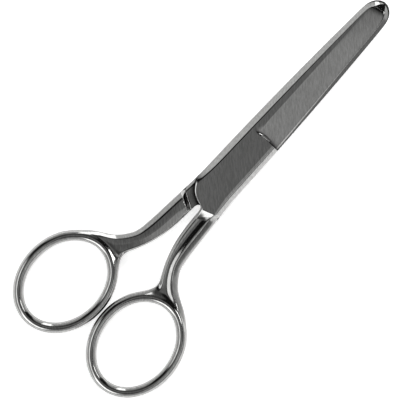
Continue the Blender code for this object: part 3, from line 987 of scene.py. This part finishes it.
@dataclass
class ForgedHalf:
    """One half of the scissors: blade, root, shank and ring in one forging.

    The lines that run along it are numbered as the points of a section are: 0 is the middle of
    the back, 1 to 5 cross the outer face, 6 is the middle of the edge, and 7 to 11 cross the
    inner face on the way back. Creases say for each zone how crisp such a line is.
    """

    side: Side
    blade: Blade = field(default_factory=Blade)
    shank: Shank = field(default_factory=Shank)
    ring: FingerRing = field(default_factory=FingerRing)
    detail: int = 3
    sharp_from: float = radians(46.0)
    creases: tuple[dict[int, float], ...] = (
        {1: 1.0, 2: 1.0, 3: 0.9, 4: 1.0, 5: 1.0, 7: 1.0, 11: 1.0},
        {1: 1.0, 2: 1.0, 4: 0.45, 5: 0.35, 7: 0.8, 11: 1.0},
        {1: 0.9, 2: 0.9, 4: 0.45, 5: 0.35, 7: 0.7, 8: 0.9, 11: 0.9},
        {1: 0.5, 2: 0.5, 4: 0.5, 7: 0.7, 8: 0.9, 11: 0.4},
        {1: 0.5, 2: 0.45, 4: 0.4, 7: 0.6, 8: 0.9, 9: 0.8, 10: 0.8, 11: 0.5},
    )
    plunge_crease: float = 1.0
    step_crease: float = 0.8
    scoop_crease: float = 0.9
    ground_lines: tuple[int, ...] = (3, 4)
    outer_lines: tuple[int, ...] = (1, 2, 3, 4)
    inner_lines: tuple[int, ...] = (7, 8, 9, 10)

    def zones(self) -> list[Sections]:
        """Lay the sections of the whole forging but its ring.

        Returns:
            The sections of each zone, from the tip to the web.
        """
        blade = self.blade
        ground = [blade.tip_loop(radians(turn)) for turn in blade.tip_turns]
        start = blade.plunge + blade.plunge_run
        for i in range(blade.ground_spans + 1):
            ground.append(blade.ground_loop(mix(blade.round_start, start, i / blade.ground_spans)))
        ricasso = [blade.ricasso_loop(blade.plunge * share) for share in blade.ricasso_shares]
        inner, outer = self.shank.edges(self.ring)
        root = self.shank.root_loops(inner, outer, blade)
        step = self.shank.step_loops(inner, outer, blade)
        return [ground, ricasso, root, step, self.shank.shank_loops(inner, outer, self.ring)]

    def cage(self) -> BMesh:
        """Loft the half's cage and weld it to the side of its ring.

        Returns:
            The cage in the pivot's frame, outer face up, with the sharpness of its lines.
        """
        bm = bmesh.new()
        bm.edges.layers.float.new("crease_edge")
        zones = self.zones()
        zone_of = [zone for zone, sections in zip(Zone, zones) for _ in sections]
        places = [section for sections in zones for section in sections]
        rows = [start_loop(bm, places[0], capped=True)]
        for section in places[1:]:
            rows.append(extend_loop(bm, rows[-1], section))
        self.sharpen(bm, rows, zone_of)
        self.join_ring(bm, rows[-1])
        bmesh.ops.remove_doubles(bm, verts=bm.verts, dist=WELD)
        bmesh.ops.recalc_face_normals(bm, faces=bm.faces)
        return bm

    def sharpen(self, bm: BMesh, rows: list[list[BMVert]], zone_of: list[Zone]) -> None:
        """Crease the lines of the lofted forging that stay crisp.

        Args:
            bm: The mesh with the loft.
            rows: The vertices of each section, from the tip to the web.
            zone_of: The zone that each section belongs to.
        """
        crease = bm.edges.layers.float["crease_edge"]

        def mark(a: BMVert, b: BMVert, value: float) -> None:
            """Crease the edge between two vertices."""
            bm.edges.get((a, b))[crease] = value

        plunge, step = zone_of.index(Zone.RICASSO), zone_of.index(Zone.STEP)
        for index, (a, b) in enumerate(zip(rows, rows[1:])):
            zone = Zone.RICASSO if index == plunge - 1 else zone_of[index]
            for line, value in self.creases[zone].items():
                mark(a[line], b[line], value)
        for line in range(len(rows[0])):
            mark(rows[0][line], rows[0][line - 1], 1.0)
        across = (
            (plunge - 1, self.ground_lines, self.plunge_crease),
            (plunge, self.ground_lines, 1.0),
            (step - 1, self.outer_lines, self.scoop_crease),
            (step, self.inner_lines, self.step_crease),
            (step + 1, self.inner_lines, self.step_crease),
        )
        for row, lines, value in across:
            for line in lines:
                mark(rows[row][line], rows[row][line + 1], value)

    def join_ring(self, bm: BMesh, web: list[BMVert]) -> None:
        """Loft the ring and run the web's last section into the mouth in its side.

        Args:
            bm: The mesh with the loft.
            web: The vertices of its last section.
        """
        stations = self.ring.loops()
        band = [start_loop(bm, stations[0])]
        for section in stations[1:] + stations[:1]:
            band.append(extend_loop(bm, band[-1], section))
        self.open_mouth(bm, band)
        side = stations[: self.ring.mouth_spans + 1]
        mouth = [side[0][0]] + [section[1] for section in side] + [side[-1][0]]
        mouth += [section[-1] for section in reversed(side)]
        extend_loop(bm, web, mouth)

    def open_mouth(self, bm: BMesh, band: list[list[BMVert]]) -> None:
        """Take out the ring's outer faces over the first spans, where the web joins it.

        Args:
            bm: The mesh with the ring.
            band: The vertices of each of the ring's sections.
        """
        joined = band[: self.ring.mouth_spans + 1]
        side = {vert for row in joined for vert in (row[0], row[1], row[-1])}
        faces = [face for face in bm.faces if all(vert in side for vert in face.verts)]
        bmesh.ops.delete(bm, geom=faces, context="FACES")

    def build(
        self, pivot: Vector, bore: bpy.types.Object, finish: bpy.types.Material
    ) -> bpy.types.Object:
        """Make the finished half in its place.

        Args:
            pivot: Where the pivot axis crosses the joint plane.
            bore: The shape of the screw's hole, in place.
            finish: Material of the half.

        Returns:
            The half, which stands for its solid and rides on its body.
        """
        bm = self.cage()
        bmesh.ops.scale(bm, vec=(self.side.stretch, 1.0, 1.0), verts=bm.verts)
        if self.side is Side.BOTTOM:
            over = Matrix.Rotation(pi, 3, "X")
            bmesh.ops.rotate(bm, cent=(0, 0, 0), matrix=over, verts=bm.verts)
        bmesh.ops.translate(bm, vec=pivot, verts=bm.verts)
        obj = as_object(bm, f"{self.side.node}_forging")
        obj.data.materials.append(finish)
        smooth = obj.modifiers.new("forging", "SUBSURF")
        smooth.levels = self.detail
        smooth.render_levels = self.detail
        cut_with(obj, bore, "bore")
        settle(obj)
        obj.data.shade_smooth()
        obj.data.set_sharp_from_angle(angle=self.sharp_from)
        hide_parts(self.side.node)
        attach(obj, self.side.body)
        self.side.node
        return obj


# Pivot screw


@dataclass
class PivotScrew:
    """The slotted countersunk screw, threaded from below into the top half."""

    gap: float = 0.15 * MM
    clearance: float = 0.30 * MM
    root_thickness: float = 2.2 * MM
    radius: float = 1.75 * MM
    head_radius: float = 3.0 * MM
    head_rim: float = 0.25 * MM
    slot_width: float = 0.8 * MM
    slot_depth: float = 0.7 * MM
    cover: float = 0.45 * MM
    cone_lean: float = radians(45.0)
    slot_overrun: float = 1.5 * MM
    softening: float = 0.07 * MM
    softening_segments: int = 2
    softening_from: float = radians(35.0)
    sharp_from: float = radians(40.0)
    steps: int = 96

    def outline(self, clearance: float) -> list[Pair]:
        """Draw the outline from the blind end to the head, grown by a clearance.

        Args:
            clearance: How much wider than the screw the outline is, 0 for the screw itself.

        Returns:
            The (radius, height) pairs, measured from the pivot's joint plane.
        """
        top = self.gap + self.root_thickness - self.cover - self.clearance + clearance
        bottom = -(self.gap + self.root_thickness)
        shaft, head = self.radius + clearance, self.head_radius + clearance
        rim = bottom + self.head_rim + clearance * tan(self.cone_lean / 2)
        below = bottom - (self.clearance if clearance else 0.0)
        neck = rim + (self.head_radius - self.radius) / tan(self.cone_lean)
        return [(0.0, top), (shaft, top), (shaft, neck), (head, rim), (head, below), (0.0, below)]

    def turned(self, name: str, clearance: float, pivot: Vector) -> bpy.types.Object:
        """Spin the outline round the pivot axis.

        Args:
            name: Name of the new object.
            clearance: How much wider than the screw the shape is.
            pivot: Where the pivot axis crosses the joint plane.

        Returns:
            The turned shape in its place.
        """
        bm = bmesh.new()
        radii = self.outline(clearance)
        verts = [bm.verts.new((radius, 0.0, z)) for radius, z in radii]
        edges = [bm.edges.new(pair) for pair in zip(verts, verts[1:])]
        bmesh.ops.spin(
            bm,
            geom=verts + edges,
            cent=(0, 0, 0),
            axis=(0, 0, 1),
            angle=2 * pi,
            steps=self.steps,
            use_merge=True,
        )
        bmesh.ops.remove_doubles(bm, verts=bm.verts, dist=WELD)
        bmesh.ops.recalc_face_normals(bm, faces=bm.faces)
        bmesh.ops.translate(bm, vec=pivot, verts=bm.verts)
        return as_object(bm, name)

    def build(self, pivot: Vector, finish: bpy.types.Material) -> bpy.types.Object:
        """Make the screw, cut its slot and soften its rims.

        Args:
            pivot: Where the pivot axis crosses the joint plane.
            finish: Material of the screw.

        Returns:
            The screw, which stands for its solid and turns with the top half.
        """
        screw = self.turned("slotted_pivot_screw", 0.0, pivot)
        bm = bmesh.new()
        bmesh.ops.create_cube(bm, size=1.0)
        slot_length = 2 * (self.head_radius + self.slot_overrun)
        size = (self.slot_width, slot_length, self.slot_depth * 2)
        bmesh.ops.scale(bm, vec=size, verts=bm.verts)
        below = Vector((0.0, 0.0, -(self.gap + self.root_thickness)))
        bmesh.ops.translate(bm, vec=pivot + below, verts=bm.verts)
        slot = as_object(bm, "slot")
        screw.data.materials.append(finish)
        cut_with(screw, slot, "slot")
        bevel = screw.modifiers.new("softening", "BEVEL")
        bevel.width = self.softening
        bevel.segments = self.softening_segments
        bevel.limit_method = "ANGLE"
        bevel.angle_limit = self.softening_from
        settle(screw, slot)
        screw.data.shade_smooth()
        screw.data.set_sharp_from_angle(angle=self.sharp_from)
        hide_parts("pivot_screw")
        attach(screw, "top")
        return screw


# Studio


@dataclass(frozen=True)
class Card:
    """A soft-edged card that hangs in the surround and shows in the plate.

    Bearings are in the photograph's frame, anticlockwise from its right, and leans are measured
    from straight overhead, all in degrees. A card of negative light is a black one: it takes that
    much from the surround behind it.
    """

    bearing: float
    lean: float
    length: float
    width: float
    light: float
    softness: float = 0.35


@dataclass
class Studio:
    """White paper, a soft surround that is dark overhead, and a camera that looks straight down."""

    camera_height: float = 0.80
    frame_width: float = 117.0 * MM
    frame_middle: Pair = (-5.40 * MM, 1.02 * MM)
    turn: float = radians(-47.4)
    sensor: float = 36.0
    sky: tuple[Pair, ...] = (
        (0.0, 0.235),
        (0.06, 0.22),
        (0.13, 0.17),
        (0.20, 0.08),
        (0.36, 0.09),
        (0.52, 0.33),
        (0.70, 0.55),
        (0.90, 0.80),
        (1.0, 1.0),
    )
    cards: tuple[Card, ...] = (
        Card(bearing=82, lean=64, length=44, width=13, light=2.2, softness=0.12),
        Card(bearing=44, lean=50, length=60, width=16, light=-0.6),
        Card(bearing=21, lean=32, length=8, width=12, light=4.5, softness=0.1),
        Card(bearing=317, lean=22, length=24, width=17, light=0.37),
        Card(bearing=317, lean=40, length=7, width=44, light=0.9, softness=0.2),
        Card(bearing=317, lean=57, length=15, width=50, light=-0.28, softness=0.2),
        Card(bearing=317, lean=80, length=26, width=50, light=0.4),
        Card(bearing=234, lean=52, length=26, width=32, light=2.2),
        Card(bearing=190, lean=34, length=20, width=50, light=1.5),
        Card(bearing=137, lean=35, length=44, width=16, light=-0.8, softness=0.1),
    )
    darkest: float = 0.01
    lamp_size: float = 0.35
    lamp_power: float = 6.0
    lamp_bearing: float = 60.0
    lamp_lean: float = 60.0
    lamp_distance: float = 1.2
    paper_half: float = 3.0
    paper_spans: int = 4
    paper_drop: float = 0.02 * MM

    def place_camera(self, pivot: Vector) -> bpy.types.Object:
        """Set the camera above the scissors, turned as the photograph is.

        Args:
            pivot: Where the pivot axis crosses the joint plane.

        Returns:
            The camera.
        """
        data = bpy.data.cameras.new("overhead_camera")
        data.sensor_width = self.sensor
        data.lens = self.sensor * self.camera_height / self.frame_width
        camera = bpy.data.objects.new("overhead_camera", data)
        bpy.context.scene.collection.objects.link(camera)
        camera.location = pivot + Vector((*self.frame_middle, self.camera_height))
        camera.rotation_euler = (0.0, 0.0, self.turn)
        bpy.context.scene.camera = camera
        return camera

    def lay_paper(self, finish: bpy.types.Material) -> bpy.types.Object:
        """Lay the sheet of paper just under the scissors.

        Args:
            finish: Material of the paper.

        Returns:
            The paper, which is left out of the shade painted into the plate's crevices.
        """
        bm = bmesh.new()
        spans = self.paper_spans
        bmesh.ops.create_grid(bm, x_segments=spans, y_segments=spans, size=self.paper_half)
        bmesh.ops.translate(bm, vec=(0.0, 0.0, -self.paper_drop), verts=bm.verts)
        paper = as_object(bm, "paper")
        paper.data.materials.append(finish)
        paper.visible_shadow = False
        return paper

    def towards(self, bearing: float, lean: float) -> Vector:
        """Return the direction at a bearing in the photograph's frame and a lean from overhead."""
        angle, fall = radians(bearing) + self.turn, radians(lean)
        return Vector((cos(angle) * sin(fall), sin(angle) * sin(fall), cos(fall)))

    def card_light(self, shade: Shader, direction: Socket, card: Card) -> Socket:
        """Lay out the nodes that light one card of the surround.

        Args:
            shade: Where the nodes go.
            direction: The socket with the direction looked in.
            card: The card.

        Returns:
            The socket with the card's light.
        """
        middle = self.towards(card.bearing, card.lean)
        along = self.towards(card.bearing, card.lean + 90)
        side = middle.cross(along)
        facing, lengthwise, sideways = (
            self.measure(shade, direction, axis) for axis in (middle, along, side)
        )
        masks = []
        for offset, extent in ((lengthwise, card.length), (sideways, card.width)):
            half = radians(extent) / 2
            mask = shade.node(
                "ShaderNodeMapRange",
                interpolation_type="SMOOTHSTEP",
                Value=shade.math("ABSOLUTE", shade.math("ARCTAN2", offset, facing)),
                From_Min=half * (1 - card.softness),
                From_Max=half * (1 + card.softness),
                To_Min=1.0,
                To_Max=0.0,
            )
            masks.append(mask.outputs["Result"])
        return shade.math("MULTIPLY", shade.math("MULTIPLY", *masks), card.light)

    @staticmethod
    def measure(shade: Shader, direction: Socket, axis: Vector) -> Socket:
        """Measure how far a direction runs along an axis.

        Args:
            shade: Where the node goes.
            direction: The socket with the direction.
            axis: The axis, of length 1.

        Returns:
            The socket with the measure.
        """
        made = shade.node("ShaderNodeVectorMath", operation="DOT_PRODUCT")
        made.inputs[1].default_value = axis
        shade.link(direction, made.inputs[0])
        return made.outputs["Value"]

    def sky_light(self, shade: Shader, direction: Socket) -> Socket:
        """Lay out the nodes of the plain surround, which gets paler towards the horizon.

        Args:
            shade: Where the nodes go.
            direction: The socket with the direction looked in.

        Returns:
            The socket with the surround's light before its cards.
        """
        height = self.measure(shade, direction, Vector((0.0, 0.0, 1.0)))
        return shade.ramp(shade.math("DIVIDE", shade.math("ARCCOSINE", height), pi / 2), self.sky)

    def light(self) -> None:
        """Light the scissors with the surround, its cards and one soft lamp."""
        world = bpy.data.worlds.new("surround")
        bpy.context.scene.world = world
        world.use_nodes = True
        shade = Shader(world.node_tree)
        background = world.node_tree.nodes["Background"]
        direction = shade.node("ShaderNodeTexCoord").outputs["Generated"]
        total = self.sky_light(shade, direction)
        for card in self.cards:
            total = shade.math("ADD", total, self.card_light(shade, direction, card))
        background.inputs["Color"].default_value = (1.0, 1.0, 1.0, 1.0)
        shade.link(shade.math("MAXIMUM", total, self.darkest), background.inputs["Strength"])
        self.hang_lamp("key_lamp")

    def hang_lamp(self, name: str) -> None:
        """Hang a soft square lamp, aimed at the scissors, that lights but doesn't show.

        Args:
            name: Name of the lamp.
        """
        data = bpy.data.lights.new(name, "AREA")
        data.size = self.lamp_size
        data.energy = self.lamp_power
        lamp = bpy.data.objects.new(name, data)
        bpy.context.scene.collection.objects.link(lamp)
        lamp.location = self.towards(self.lamp_bearing, self.lamp_lean) * self.lamp_distance
        lamp.rotation_euler = (-lamp.location).to_track_quat("-Z", "Y").to_euler()
        lamp.visible_camera = False
        lamp.visible_glossy = False


def main() -> None:
    """Build the scissors and the studio, in order."""
    logging.basicConfig(level=logging.INFO, format="%(name)s: %(message)s")
    scene = bpy.context.scene
    scene.view_settings.view_transform = "Standard"
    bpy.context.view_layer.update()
    pivot = Vector(frame["record"]["behaviour"]["joints"][0]["pos_m"])

    screw = PivotScrew()
    bore = screw.turned("bore", screw.clearance, pivot)
    pieces = []
    for side in Side:
        plate = NickelPlate(f"nickel_plate_{side.body}").material()
        pieces.append(ForgedHalf(side).build(pivot, bore, plate))
    bpy.data.meshes.remove(bore.data)
    turned_steel = NickelPlate("screw_steel", tone=0.56, roughness=0.22, scratch_turn=0.0)
    pieces.append(screw.build(pivot, turned_steel.material()))
    for piece in pieces:
        log.info("%s: %d faces", piece.name, len(piece.data.polygons))

    studio = Studio()
    studio.lay_paper(PaperSweep("white_paper").material())
    studio.place_camera(pivot)
    studio.light()


if __name__ == "__main__":
    main()
